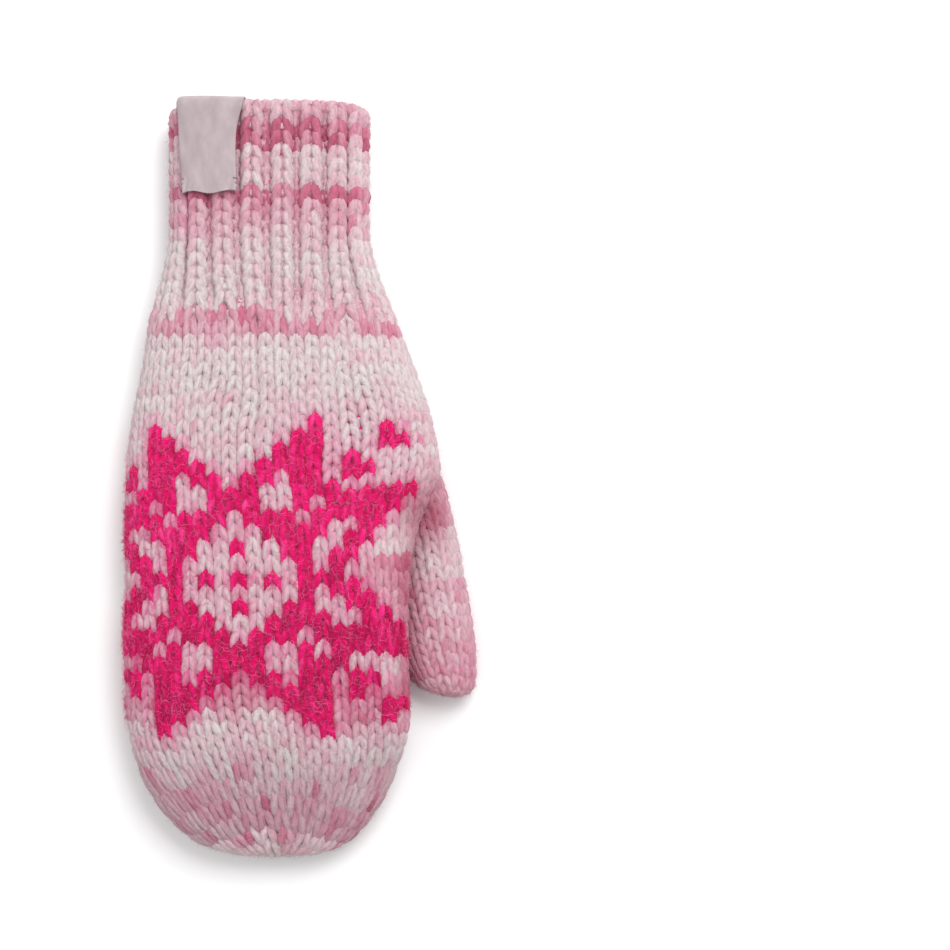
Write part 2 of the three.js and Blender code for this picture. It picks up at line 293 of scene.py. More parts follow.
# name, first course, course after the last: the pieces of the hand's yarn.
HAND_PIECES = (
    ("hand_yarn_wrist", 16, 27),
    ("hand_yarn_star", 27, 39),
    ("hand_yarn_end", 39, 50),
)

# How far below the surface the backing's outside and inside lie.
CUFF_BACKING = (2.0, 2.5)
BACKING = (1.9, 2.4)

# name, place in metres, power in watts, size in metres.
LAMPS = (
    ("key_light", (0.35, 0.6, 0.95), 10, 0.6),
    ("fill_light", (-0.35, 0.1, 1.2), 2.5, 1.0),
)
CAMERA_PLACE = (0.05988, 0.00155, 0.7826)
FLOOR_HALF = 1.5

rng = np.random.default_rng(7)


def srgb_to_linear(color):
    """Linear light from sRGB: a short straight start, then a power of 2.4."""
    color = np.clip(color, 0, 1)
    return np.where(color <= 0.04045, color / 12.92, ((color + 0.055) / 1.055) ** 2.4)


def smoothstep(value, low, high):
    """0 below low, 1 above high, and a smooth ramp between."""
    t = np.clip((value - low) / (high - low), 0, 1)
    return t * t * (3 - 2 * t)


def window(value, rise, top, fall, end):
    """0 below rise, a smooth ramp to 1 at top, 1 as far as fall, and a ramp down to 0 at end."""
    return smoothstep(value, rise, top) * (1 - smoothstep(value, fall, end))


def from_back(turn):
    """How far a turn is from the middle of the back, up to half a turn either way."""
    return (turn + 0.5) % 1 - 0.5


def unit(vectors):
    """The vectors, each with a length of 1."""
    return vectors / np.maximum(np.linalg.norm(vectors, axis=-1, keepdims=True), 1e-9)


def onwards(points, axis):
    """The way from each point's neighbour before it to the one after it, on a closed ring."""
    return np.roll(points, -1, axis=axis) - np.roll(points, 1, axis=axis)


def read_columns(at, ticks, rows):
    """The columns of some rows, read straight between the rows' ticks."""
    return np.stack([np.interp(at, ticks, column) for column in rows.T], axis=-1)


def circle_across(ahead, out, sides, start=0.0):
    """Directions evenly round ahead, from the one as near outwards as it can be, turned on by start."""
    side = unit(np.cross(ahead, out))
    up = np.cross(side, ahead)
    phi = (start + TAU * np.arange(sides) / sides)[:, None]
    return up[..., None, :] * np.cos(phi) + side[..., None, :] * np.sin(phi)


def read_table(rows, place):
    """All columns of a table at places from 0 at its first row to 1 at its last.

    Between two rows each column runs on a cubic whose slope at each row is half the difference
    of that row's neighbours.
    """
    last = len(rows) - 1
    at = np.clip(place, 0, 1) * last
    i = np.minimum(np.floor(at).astype(int), last - 1)
    t = (at - i)[..., None]
    before, here = rows[np.maximum(i - 1, 0)], rows[i]
    after, beyond = rows[i + 1], rows[np.minimum(i + 2, last)]
    slope_in = (after - before) / 2
    slope_out = (beyond - here) / 2
    ease = t * t * (3 - 2 * t)
    return here * (1 - ease) + after * ease + slope_in * t * (1 - t) ** 2 - slope_out * t * t * (1 - t)


def place_of(rows, share):
    """The place in a table where its first column reaches a share, read back from a fine list."""
    places = np.linspace(0, 1, 2001)
    return np.interp(share, read_table(rows, places)[:, 0], places)


def bed_lift(x, along):
    """How far the hand is lifted by the thumb under its edge.

    The lift is the thumb's height, times a ramp along the hand at each end of the thumb, times
    a ramp across up to the thumb's inner edge.
    """
    share = along / HAND_LENGTH
    tip = THUMB_LINE[-1, 1]
    climb = smoothstep(share, BED_START, BED_START + BED_CLIMB)
    fall = 1 - smoothstep(share, tip, tip + BED_FALL)
    line = read_table(THUMB_LINE, np.linspace(0, 1, 400))
    edge = np.interp(share, line[:, 1], line[:, 0]) * HAND_WIDTH - THUMB_WIDTH / 2
    return (THUMB_HEIGHT - REST_SAG + GAP) * climb * fall * smoothstep(x - edge, -BED_RAMP, 0)


def section_points(left, right, height, rise, even, turn, lift_at):
    """The outer surface of a flattened round section.

    x is the middle plus half the width times the sine of an angle, and z the middle height plus half
    the height times its cosine, with a third harmonic for squarer corners. The angle is the turn
    less a wave that evens the stitches out. lift_at raises and squeezes the section at x.
    """
    angle = TAU * turn - even * np.sin(2 * TAU * turn)
    across = (np.sin(angle) + SQUARENESS * np.sin(3 * angle)) / (1 - SQUARENESS)
    up = (np.cos(angle) - SQUARENESS * np.cos(3 * angle)) / (1 - SQUARENESS)
    x = (right - left) / 2 + (left + right) / 2 * across
    lift = lift_at(x)
    squeeze = 1 - BED_SQUEEZE * lift / HAND_HEIGHT
    z = lift + (rise + height / 2 - REST_SAG) * squeeze + height / 2 * squeeze * up
    return x, np.maximum(z, 0)


def hand_grid(places, turns):
    """Points of the hand's outer surface for each place in its table and each turn."""
    row = read_table(HAND_SECTIONS, places)[:, None, :]
    along = row[..., 0] * HAND_LENGTH
    x, z = section_points(
        row[..., 1] * HAND_WIDTH,
        row[..., 2] * HAND_WIDTH,
        np.maximum(row[..., 3], 0) * HAND_HEIGHT,
        row[..., 4] * HAND_HEIGHT,
        EVEN_HAND,
        turns[None, :],
        lambda x: bed_lift(x, along),
    )
    return np.stack([x, np.broadcast_to(-CUFF_LENGTH - GAP - along, x.shape), z], axis=-1)


def cuff_grid(shares, turns):
    """Points of the cuff's outer surface, over the tops of its ribs, for each share and turn."""
    row = read_table(CUFF_SECTIONS, place_of(CUFF_SECTIONS, shares))[:, None, :]
    flare = row[..., 1]
    first = HAND_SECTIONS[0]
    x, z = section_points(
        CUFF_WIDTH / 2 + (first[1] * HAND_WIDTH - CUFF_WIDTH / 2) * flare,
        CUFF_WIDTH / 2 + (first[2] * HAND_WIDTH - CUFF_WIDTH / 2) * flare,
        CUFF_HEIGHT + (first[3] * HAND_HEIGHT - CUFF_HEIGHT) * flare,
        0.0,
        EVEN_CUFF + (EVEN_HAND - EVEN_CUFF) * flare,
        turns[None, :],
        lambda x: 0 * x,
    )
    return np.stack([x, np.broadcast_to(-row[..., 0] * CUFF_LENGTH, x.shape), z], axis=-1)


def thumb_line_points(count):
    """Points along the thumb's middle line, evenly spaced, with their directions.

    The line is a centripetal Catmull-Rom curve: between two points it is a cubic whose end slopes
    come from the neighbours, weighed by the square roots of the distances.
    """
    across, along, settle = THUMB_LINE.T
    high = HAND_HEIGHT / 2 + (THUMB_HEIGHT / 2 - HAND_HEIGHT / 2) * settle - REST_SAG
    points = np.stack([across * HAND_WIDTH, -CUFF_LENGTH - GAP - along * HAND_LENGTH, high], axis=-1)
    padded = np.concatenate([[2 * points[0] - points[1]], points, [2 * points[-1] - points[-2]]])
    p0, p1, p2, p3 = padded[:-3], padded[1:-2], padded[2:-1], padded[3:]
    gaps = np.sqrt(np.linalg.norm(np.diff(padded, axis=0), axis=1, keepdims=True))
    d0, d1, d2 = gaps[:-2], gaps[1:-1], gaps[2:]
    s1 = ((p1 - p0) / d0 - (p2 - p0) / (d0 + d1) + (p2 - p1) / d1) * d1
    s2 = ((p2 - p1) / d1 - (p3 - p1) / (d1 + d2) + (p3 - p2) / d2) * d1
    t = np.linspace(0, 1, 80, endpoint=False)[None, :, None]
    p1, p2, s1, s2 = p1[:, None], p2[:, None], s1[:, None], s2[:, None]
    curve = (
        p1 * (1 - 3 * t**2 + 2 * t**3)
        + p2 * (3 * t**2 - 2 * t**3)
        + s1 * (t - 2 * t**2 + t**3)
        + s2 * (t**3 - t**2)
    ).reshape(-1, 3)
    curve = np.concatenate([curve, points[-1:]])
    length = np.concatenate([[0], np.cumsum(np.linalg.norm(np.diff(curve, axis=0), axis=1))])
    line = read_columns(np.linspace(0, length[-1], count), length, curve)
    return line, unit(np.gradient(line, axis=0))


def thumb_grid(shares, turns):
    """Points of the thumb's outer surface: an ellipse carried along its middle line."""
    ticks = np.linspace(0, 1, 400)
    line, direction = thumb_line_points(len(ticks))
    middle = read_columns(shares, ticks, line)
    forward = read_columns(shares, ticks, direction)
    row = read_table(THUMB_SECTIONS, place_of(THUMB_SECTIONS, shares))
    side = unit(np.cross((0.0, 0.0, 1.0), forward))
    up = np.cross(forward, side)
    half_width = np.maximum(row[:, 1], 0)[:, None, None] * THUMB_WIDTH / 2
    half_height = np.maximum(row[:, 2], 0)[:, None, None] * THUMB_HEIGHT / 2
    angle = TAU * turns[None, :, None]
    points = middle[:, None] + side[:, None] * half_width * np.sin(angle)
    points = points + up[:, None] * half_height * np.cos(angle)
    points[..., 2] = np.maximum(points[..., 2], 0)
    return points


class Fabric:
    """A surface to knit on: points and outward directions on a fine grid of courses and turns."""

    def __init__(self, points, course_of, first, last):
        """points is a grid of places and turns, and course_of the course at each of them.

        Each turn's column is read again at even courses, so the grid's rows become courses.
        """
        turns = points.shape[1]
        self.first, self.last = first, last
        self.rows = int((last - first) * 8) + 1
        courses = np.linspace(first, last, self.rows)
        grid = np.empty((self.rows, turns, 3))
        for t in range(turns):
            grid[:, t] = read_columns(courses, course_of[:, t], points[:, t])
        self.points = grid
        self.out = unit(np.cross(np.gradient(grid, axis=0), onwards(grid, 1)))

    def read(self, grid, course, turn):
        """The grid's value at a course and turn, straight between its four neighbours."""
        turns = grid.shape[1]
        row = np.clip((course - self.first) / (self.last - self.first), 0, 1) * (self.rows - 1)
        i = np.minimum(np.floor(row).astype(int), self.rows - 2)
        a = (row - i)[..., None]
        column = (turn % 1) * turns
        j = np.floor(column).astype(int) % turns
        b = (column - np.floor(column))[..., None]
        k = (j + 1) % turns
        near = grid[i, j] * (1 - b) + grid[i, k] * b
        far = grid[i + 1, j] * (1 - b) + grid[i + 1, k] * b
        return near * (1 - a) + far * a

    def at(self, course, turn, depth):
        """The point at a course and turn, that far below the outer surface."""
        out = unit(self.read(self.out, course, turn))
        return self.read(self.points, course, turn) - out * depth[..., None], out

    def width(self, course):
        """The distance round the fabric at a course."""
        loop = np.linalg.norm(np.roll(self.points, -1, axis=1) - self.points, axis=-1).sum(axis=1)
        return np.interp(course, np.linspace(self.first, self.last, self.rows), loop)


def rim_rows(edge, inwards):
    """The cuff's free edge bent over its rim, from the inside to the first row of the outside.

    At an angle over the rim, a point has gone on towards the edge by the rim's radius times the sine, and
    inwards by the radius times one less the cosine.
    """
    angle = np.linspace(2.3, 0, 24, endpoint=False)[:, None, None]
    towards_edge = np.array((0.0, 1.0, 0.0))
    points = edge + RIM_RADIUS * (towards_edge * np.sin(angle) + inwards * (1 - np.cos(angle)))
    return points, -RIM_RADIUS * angle[..., 0]


def cuff_fabric():
    """The cuff's fabric. Its courses are counted from where the outside begins to bend over the rim."""
    turns = np.arange(SURFACE_TURNS) / SURFACE_TURNS
    along = np.linspace(RIM_RADIUS, CUFF_LENGTH + 12, 170)
    cuff = cuff_grid(np.minimum(along, CUFF_LENGTH) / CUFF_LENGTH, turns)
    beyond = np.maximum(along - CUFF_LENGTH - GAP, 0) / HAND_LENGTH
    hand = hand_grid(place_of(HAND_SECTIONS, beyond), turns)
    cuff = np.where((along > CUFF_LENGTH + GAP)[:, None, None], hand, cuff)
    inwards = unit(np.cross((0.0, 1.0, 0.0), onwards(cuff[0], 0)))
    rim, rim_run = rim_rows(cuff[0], inwards)
    points = np.concatenate([rim, cuff])
    run = np.concatenate([rim_run, (along - RIM_RADIUS)[:, None]]) + 0 * points[..., 0]
    corner = CORNER_ROUND * np.abs(points[..., :1] / (CUFF_WIDTH / 2)) ** 6
    points[..., 1:2] -= corner * np.exp(-np.maximum(run, 0)[..., None] / 12)
    length = CUFF_LENGTH + GAP / 2 - RIM_RADIUS
    return Fabric(points, run / length * CUFF_COURSES, -1.55, CUFF_COURSES + 1.5)


def bare_cuff():
    """The cuff's surface under the label. Its courses are the millimetres from the cuff's edge."""
    turns = np.arange(SURFACE_TURNS) / SURFACE_TURNS
    along = np.linspace(0, CUFF_LENGTH, 160)
    return Fabric(cuff_grid(along / CUFF_LENGTH, turns), along[:, None] + 0 * turns, 0.0, CUFF_LENGTH)


def star_creep(course, wale):
    """How far the stitches have crept at each course and wale, in wales and in courses.

    It is the mean of the table's rows, weighed by a Gaussian of their distance.
    """
    weight, total = 0.02, np.zeros((len(course), len(wale), 2))
    for at, side, across, up in STAR_CREEP:
        near = ((course[:, None] - at) / 2.0) ** 2 + ((wale[None, :] - side) / 1.7) ** 2
        near = np.exp(-near)
        weight = weight + near
        total = total + near[..., None] * np.array((across, up))
    return total / weight[..., None]


def spread_wales(points, line, share, creep):
    """The points of each row again, with the star's middle wale first and the wales spread evenly.

    The length round the row is counted from where the back crosses the line. At a share t of the
    wales it is t plus a sine of t's whole turn times share, as a part of the whole length round, and
    the creep.
    """
    rows, turns, _ = points.shape
    fresh = np.empty_like(points)
    t = np.arange(turns) / turns
    half = turns // 4
    back = np.arange(-half, half + 1)
    for i in range(rows):
        ring = points[i]
        step = np.linalg.norm(np.roll(ring, -1, axis=0) - ring, axis=1)
        run = np.concatenate([[0], np.cumsum(np.maximum(step, 1e-6))])
        start = np.interp(line[i], ring[back, 0], back)
        first = np.interp(start % turns, np.arange(turns + 1), run)
        wave = share[i] * np.sin(TAU * t) / TAU
        want = (first + run[-1] * (t + wave - creep[i] / HAND_WALES)) % run[-1]
        fresh[i] = read_columns(want, run, np.concatenate([ring, ring[:1]]))
    return fresh


def hand_fabric():
    """The hand's fabric, whose turn is counted from the star's middle wale.

    A course is counted by its distance along the mitten. Near the tip it is counted back from the pole
    instead, partly by the distance along each column's own curve, so that the last courses bend
    round the tip. Beside the thumb the courses ride up towards the wrist, and over the star's
    other side they hang a little.
    """
    turns = np.arange(SURFACE_TURNS) / SURFACE_TURNS
    cuff = cuff_grid(np.linspace(0.85, 1, 30), turns)
    hand = hand_grid(1 - (1 - np.linspace(0, 1, 800)) ** 1.6, turns)
    points = np.concatenate([cuff, hand])
    wrist = CUFF_LENGTH + GAP / 2
    plain = CUFF_COURSES + (-points[:, 0, 1] - wrist) / COURSE_HEIGHT
    across, pitch = read_columns(plain, STAR_LINE[:, 0], STAR_LINE[:, 1:]).T
    loop = np.linalg.norm(np.roll(points, -1, axis=1) - points, axis=-1).sum(axis=1)
    share = pitch * HAND_WALES / np.maximum(loop, 1) - 1
    share = np.clip(share, -0.3, 0.3) * (1 - smoothstep(plain, 45, 51))
    wale = from_back(turns) * HAND_WALES
    creep = star_creep(plain, wale)
    points = spread_wales(points, across, share, -creep[..., 0])

    steps = np.linalg.norm(np.diff(points, axis=0), axis=-1)
    zero = np.zeros((1, points.shape[1]))
    left = np.concatenate([np.cumsum(steps[::-1], axis=0)[::-1], zero])
    middle = left[:, :1]
    bend = 0.55 * (1 - smoothstep(middle, 14, 50))
    to_pole = middle + bend * (left - middle)
    plain = plain[:, None] + 0 * left
    tip_start = CUFF_COURSES + HAND_COURSES
    tip_courses = len(TIP_ROUNDS)
    reach = np.interp(tip_start, plain[:, 0], middle[:, 0])
    counted_back = tip_start + tip_courses * (1 - to_pole / reach)
    blend = smoothstep(plain, tip_start - 9, tip_start - 1)
    course = plain * (1 - blend) + counted_back * blend
    wale = wale[None, :]
    rise = THUMB_RISE * window(wale, 4, 11, 13, 19) * window(plain, 19, 28, 31, 42)
    hang = SIDE_HANG * window(-wale, 1, 6, 7, 12) * window(plain, 17, 22, 24, 34)
    course = np.maximum.accumulate(course + rise - hang + creep[..., 1], axis=0)
    return Fabric(points, course, CUFF_COURSES - 1.5, float(tip_start + tip_courses))


def thumb_fabric():
    """The thumb's fabric. A course is counted by the distance along each column's own curve.

    The side of its tip that is next to the hand is pulled in towards the wrist, and the other side is
    pushed out a little.
    """
    turns = np.arange(120) / 120
    shares = 0.2 + 0.8 * (1 - (1 - np.linspace(0, 1, 400)) ** 1.6)
    points = thumb_grid(shares, turns)
    inside = (points[..., 0].mean(axis=1, keepdims=True) - points[..., 0]) / (THUMB_WIDTH / 2)
    pull = TIP_PULL * smoothstep(inside, -0.6, 1) - TIP_PUSH * smoothstep(-inside, -0.2, 0.8)
    points[..., 1] += pull * smoothstep(shares, 0.75, 1)[:, None]
    steps = np.linalg.norm(np.diff(points, axis=0), axis=-1)
    gone = np.concatenate([np.zeros((1, points.shape[1])), np.cumsum(steps, axis=0)])
    course = gone / gone[-1:] * (THUMB_COURSES + 3)
    return Fabric(points, course, 0.0, float(THUMB_COURSES + 3))


def star_at(courses, wales):
    """True where the star has a bright stitch, for arrays of courses and wales from its middle one."""
    chart = np.array([[mark == "X" for mark in row] for row in STAR])
    row = np.abs(courses - STAR_COURSE)
    column = np.abs((wales + HAND_WALES // 2) % HAND_WALES - HAND_WALES // 2)
    inside = (row < 12) & (column < 12)
    return chart[np.minimum(row, 11), np.minimum(column, 11)] & inside


def wander(rows, count, per_wale, size):
    """Smooth chance along closed rows of yarn: random values, with a cubic ease between them."""
    knots = max(4, int(count / per_wale))
    values = rng.normal(0, size, (rows, knots))
    at = np.arange(count * STEPS) / (count * STEPS) * knots
    i = np.floor(at).astype(int)
    ease = smoothstep(at - i, 0, 1)
    return values[:, i % knots] * (1 - ease) + values[:, (i + 1) % knots] * ease


def yarn_shades(stripes, courses, count, loose=1.0, fleck=0.0):
    """The shade at each step of the yarn of some courses.

    It is the stripes' shade at a course that drifts a little on the way round, and chance of three
    lengths along the yarn, as in wool that is dyed before it is spun. Where fleck is more than 0 the yarn
    has deep flecks too: the part of a chance value that is over 0.5.
    """
    rows = len(courses)
    drift = loose * sum(wander(rows, count, *chance) for chance in EDGE_CHANCE)
    shade = np.interp(courses[:, None] + 0.5 + drift, *stripes.T)
    for chance in SHADE_CHANCE:
        shade = shade + wander(rows, count, *chance)
    return shade + fleck * np.maximum(wander(rows, count, *FLECK_CHANCE) - 0.5, 0)


def shade_color(shade, table):
    """The sRGB colour of a shade, straight between a table's colours."""
    return read_columns(shade, np.arange(len(table)), table)


def yarn_colors(shade, bright=None, haze=None, deep=0.0):
    """The colour of each point of the yarn.

    The yarn is painted deeper on its inner side, by a cosine round it, as shade where it turns into the
    fabric, and streaked by chance along each side. A bright stitch takes its colour from the star's own
    shades, deeper by each row's deep, which is painted shade, and the stitches beside it have its haze of
    loose fibres.
    """
    phi = TAU * np.arange(SIDES) / SIDES
    # Painted shade: the yarn darker on its inner side, which turns into the fabric.
    inner = (0.5 + 0.5 * np.cos(phi)) ** 1.5
    streak = np.stack([wander(len(shade), shade.shape[1] // STEPS, 0.3, 0.28) for _ in phi], axis=-1)
    colors = shade_color(np.clip(shade[..., None] + 0.55 * inner + streak, 0, 4), SHADES)
    if bright is not None:
        # The star's own colours, with the same painted shade on the inner side, and deeper by each row's
        # deep, painted shade over its lower rows.
        star = shade_color(np.clip(1.1 - deep - 0.6 * inner + 1.5 * streak, 0, 2), BRIGHT)
        mist = np.repeat(haze, STEPS, axis=1)[..., None] * np.clip(1 + 2 * streak, 0, 2)
        colors = colors + (BRIGHT[1] - colors) * mist[..., None]
        colors = np.where(np.repeat(bright, STEPS, axis=1)[..., None, None], star, colors)
    return colors.reshape(-1, 3)


def add_object(name, data):
    """A new object in the scene."""
    obj = bpy.data.objects.new(name, data)
    bpy.context.scene.collection.objects.link(obj)
    return obj


def new_mesh(name, points, faces, material, colors=None, uv=None):
    """A smooth mesh object of quads and triangles, with a colour for each point and a UV for each corner.

    Its points are kept over the floor and moved from the part's own middle line and cuff edge to the
    frame, in metres.
    """
    points = points.reshape(-1, 3)
    points[:, 2] = np.maximum(points[:, 2], FLOOR_CLEAR)
    mesh = bpy.data.meshes.new(name)
    mesh.from_pydata((points + SHIFT) * MM, [], faces)
    if colors is not None:
        rgba = np.concatenate([srgb_to_linear(colors), np.ones((len(colors), 1))], axis=1)
        layer = mesh.color_attributes.new(name="yarn_color", type="FLOAT_COLOR", domain="POINT")
        layer.data.foreach_set("color", rgba.astype(np.float32).ravel())
    if uv is not None:
        layer = mesh.uv_layers.new(name="along_yarn")
        layer.data.foreach_set("uv", np.asarray(uv, dtype=np.float32).ravel())
    mesh.polygons.foreach_set("use_smooth", np.ones(len(mesh.polygons), bool))
    mesh.materials.append(material)
    mesh.update()
    obj = add_object(name, mesh)
    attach(obj, "root")
    return obj


def ring_tubes(centres, out, radius):
    """Closed rings of yarn: a circle carried along each ring's points.

    The circle lies across the ring's direction, with one axis as near outwards as it can be, and each
    of its points is in or out by chance, as the fibres leave it. Returns the points, the faces, and for
    each face corner the distance along the yarn and the share round it.
    """
    rings, count, _ = centres.shape
    circle = circle_across(unit(onwards(centres, 1)), out, SIDES, np.pi)
    rough = 1 + rng.normal(0, ROUGHNESS, (rings, count, SIDES, 1))
    points = centres[:, :, None] + circle * radius[:, :, None, None] * rough
    ring = np.arange(rings * count).reshape(rings, count, 1)
    here, there = ring * SIDES, np.roll(ring, -1, axis=1) * SIDES
    s = np.arange(SIDES)
    s1 = (s + 1) % SIDES
    faces = np.stack([here + s, here + s1, there + s1, there + s], axis=-1)
    step = np.linalg.norm(np.roll(centres, -1, axis=1) - centres, axis=-1)
    run = np.concatenate([np.zeros((rings, 1)), np.cumsum(step, axis=1)], axis=1)
    u0 = np.broadcast_to(run[:, :-1, None], faces.shape[:3])
    u1 = np.broadcast_to(run[:, 1:, None], faces.shape[:3])
    v0 = np.broadcast_to(s / SIDES, faces.shape[:3])
    v1 = v0 + 1 / SIDES
    uv = np.stack([u0, v0, u0, v1, u1, v1, u1, v0], axis=-1)
    return points.reshape(-1, 3), faces.reshape(-1, 4).tolist(), uv.reshape(-1, 2)


def knit_courses(fabric, courses, wales, ribbed=False, thick=1.0):
    """The yarn of whole courses of stitches, one closed ring for each.

    In a stitch the yarn goes round once as t goes from minus half a turn to half a turn. Across, it is
    t's share of the stitch plus a sine of twice t, which spreads the head and narrows the base. Along, it is
    a cosine of t. In depth it is a cosine of twice t, so that the legs lie in front and the head and
    base behind. That is less so in the grooves between ribs, whose wales also crowd together. Chance
    makes each stitch's spread, place, reach, thickness and depth a little uneven.
    """
    t = -np.pi + TAU * (np.arange(STEPS) + 0.5) / STEPS
    wale = np.arange(wales)

    def jitter(kind):
        """Chance for each stitch."""
        return rng.normal(0, UNEVEN[kind], (len(courses), wales, 1))

    def in_rings(values):
        """The values along each course's ring."""
        return np.broadcast_to(values, q.shape).reshape(len(courses), -1)

    head = (1 + np.cos(t)) / 2
    q = wale[None, :, None] + t / TAU + (LOOP_SPREAD + jitter("spread")) * np.sin(2 * t)
    q = q + jitter("place") * head
    reach = LOOP_REACH * (1 + jitter("reach") * head)
    course = courses[:, None, None] + 0.5 + reach * np.cos(t)
    course = course + 0.05 * np.sin(q * 0.9 + courses[:, None, None] * 1.7)
    course = np.minimum(course, fabric.last - 0.12)
    face = rib_kind(q) if ribbed else np.ones_like(q)
    radius = YARN_RADIUS * thick * (1 + jitter("thickness") * head + 0.05 * np.sin(t) ** 2)
    depth = YARN_RADIUS + LOOP_DEPTH * (1 + np.cos(2 * t) * face) + jitter("depth") * head
    turn = rib_turn(q) if ribbed else q / wales
    if ribbed:
        depth = depth + rib_depth(turn, course)
    centres, out = fabric.at(in_rings(course), in_rings(turn), in_rings(depth))
    return ring_tubes(centres, out, in_rings(radius))


def rib_turn(q):
    """The cuff's turn at a wale: a sine moves the wales from the grooves to the ribs."""
    return (q - RIB_CROWD * np.sin(np.pi * q)) / CUFF_WALES


def rib_depth(turn, course):
    """The grooves between the ribs: a cosine round the cuff, which fades out at the wrist and the rim."""
    fade = (1 - smoothstep(course / CUFF_COURSES, RIB_FADE, 1)) * smoothstep(course, -0.9, 1.0)
    return RIB_DEPTH * fade * (0.5 + 0.5 * np.cos(TAU * RIB_COUNT * turn)) ** 1.5


def rib_kind(q):
    """1 in the middle of a knit wale and nearly flat in the middle of a purl wale, changing smoothly."""
    return np.clip(0.3 - 1.7 * np.cos(np.pi * q), PURL, 1)


def set_inputs(tree, node, values):
    """Sets a node's inputs, or links them where the value is another node's output."""
    for key, value in values.items():
        if isinstance(value, bpy.types.NodeSocket):
            tree.links.new(value, node.inputs[key])
        else:
            node.inputs[key].default_value = value


def add_node(tree, kind, values, **settings):
    """A new node. Its settings come first, because they decide which inputs it has."""
    node = tree.nodes.new(kind)
    for key, value in settings.items():
        setattr(node, key, value)
    set_inputs(tree, node, values)
    return node


def add_color(tree):
    """The yarn's colour attribute."""
    return add_node(tree, "ShaderNodeAttribute", {}, attribute_name="yarn_color").outputs["Color"]


def add_noise(tree, scale, detail, socket="UV"):
    """A noise texture that runs along the yarn, or through the object."""
    place = add_node(tree, "ShaderNodeTexCoord", {}).outputs[socket]
    scaled = add_node(tree, "ShaderNodeMapping", {"Vector": place, "Scale": scale}).outputs["Vector"]
    noise = add_node(tree, "ShaderNodeTexNoise", {"Vector": scaled, "Scale": 1.0, "Detail": detail})
    return noise.outputs["Fac"]


def add_ramp(tree, factor, low, high):
    """A ramp of colours, from one place and colour to another."""
    ramp = add_node(tree, "ShaderNodeValToRGB", {"Fac": factor})
    for k, (place, color) in enumerate((low, high)):
        ramp.color_ramp.elements[k].position = place
        ramp.color_ramp.elements[k].color = (*color, 1)
    return ramp.outputs["Color"]


def add_mix(tree, blend, factor, first, second):
    """Two colours, blended."""
    values = {"Factor": factor, "A": first, "B": second}
    return add_node(tree, "ShaderNodeMix", values, data_type="RGBA", blend_type=blend).outputs["Result"]


def add_bump(tree, height, strength, distance):
    """The normals of a bumpy surface, whose height is a distance in metres at most."""
    values = {"Height": height, "Strength": strength, "Distance": distance}
    return add_node(tree, "ShaderNodeBump", values).outputs["Normal"]


def new_material(name):
    """A material, its node tree and its shader."""
    material = bpy.data.materials.new(name)
    material.use_nodes = True
    tree = material.node_tree
    return material, tree, tree.nodes["Principled BSDF"]


def yarn_material(name, streak, sheen, bump):
    """Brushed wool: its colour attribute, deeper in streaks along the yarn, over a hairy bump."""
    material, tree, shader = new_material(name)
    color = add_color(tree)
    marl = add_noise(tree, (0.45, 9.0, 1.0), 4.0)
    streaks = add_ramp(tree, marl, (0.36, (0.68, 0.42, 0.52)), (0.56, (1.0, 1.0, 1.0)))
    hairs = add_noise(tree, (1.2, 15.0, 1.0), 5.0)
    set_inputs(tree, shader, {
        "Base Color": add_mix(tree, "MULTIPLY", streak, color, streaks),
        "Roughness": 0.95,
        "Specular IOR Level": 0.05,
        "Sheen Weight": sheen,
        "Sheen Roughness": 0.6,
        "Sheen Tint": add_mix(tree, "MIX", 0.3, color, (1, 1, 1, 1)),
        "Normal": add_bump(tree, hairs, bump, 0.001),
    })
    return material


def backing_material(name):
    """The matted fibres between the stitches: the colour attribute, painted deeper as shade, under a fine
    noise.
    """
    material, tree, shader = new_material(name)
    noise = add_noise(tree, (900.0, 900.0, 900.0), 2.0, "Object")
    grain = add_ramp(tree, noise, (0.3, (0.8, 0.72, 0.76)), (0.7, (1.0, 1.0, 1.0)))
    set_inputs(tree, shader, {
        "Base Color": add_mix(tree, "MULTIPLY", 1.0, add_color(tree), grain),
        "Roughness": 1.0,
        "Normal": add_bump(tree, noise, 0.6, 0.0005),
    })
    return material


def satin_material(name):
    """Woven satin tape: fine threads across it, seen as bump, and a cloudy colour along it."""
    material, tree, shader = new_material(name)
    cloud = add_noise(tree, (0.25, 0.12, 1.0), 3.0)
    threads = add_noise(tree, (0.6, 5.0, 1.0), 3.0)
    set_inputs(tree, shader, {
        "Base Color": add_ramp(tree, cloud, (0.3, (0.36, 0.287, 0.303)), (0.7, (0.46, 0.38, 0.397))),
        "Roughness": 0.42,
        "Specular IOR Level": 0.4,
        "Sheen Weight": 0.15,
        "Normal": add_bump(tree, threads, 0.35, 0.0002),
    })
    return material


def plain_material(name, color, roughness):
    """One colour and roughness."""
    material, tree, shader = new_material(name)
    set_inputs(tree, shader, {"Base Color": (*color, 1), "Roughness": roughness})
    return material


def grid_faces(rows, columns):
    """Quads of a grid of points that closes round its columns."""
    i = np.arange(rows - 1)[:, None]
    j = np.arange(columns)[None, :]
    j1 = (j + 1) % columns
    quads = [i * columns + j, i * columns + j1, (i + 1) * columns + j1, (i + 1) * columns + j]
    return np.stack(np.broadcast_arrays(*quads), axis=-1).reshape(-1, 4)


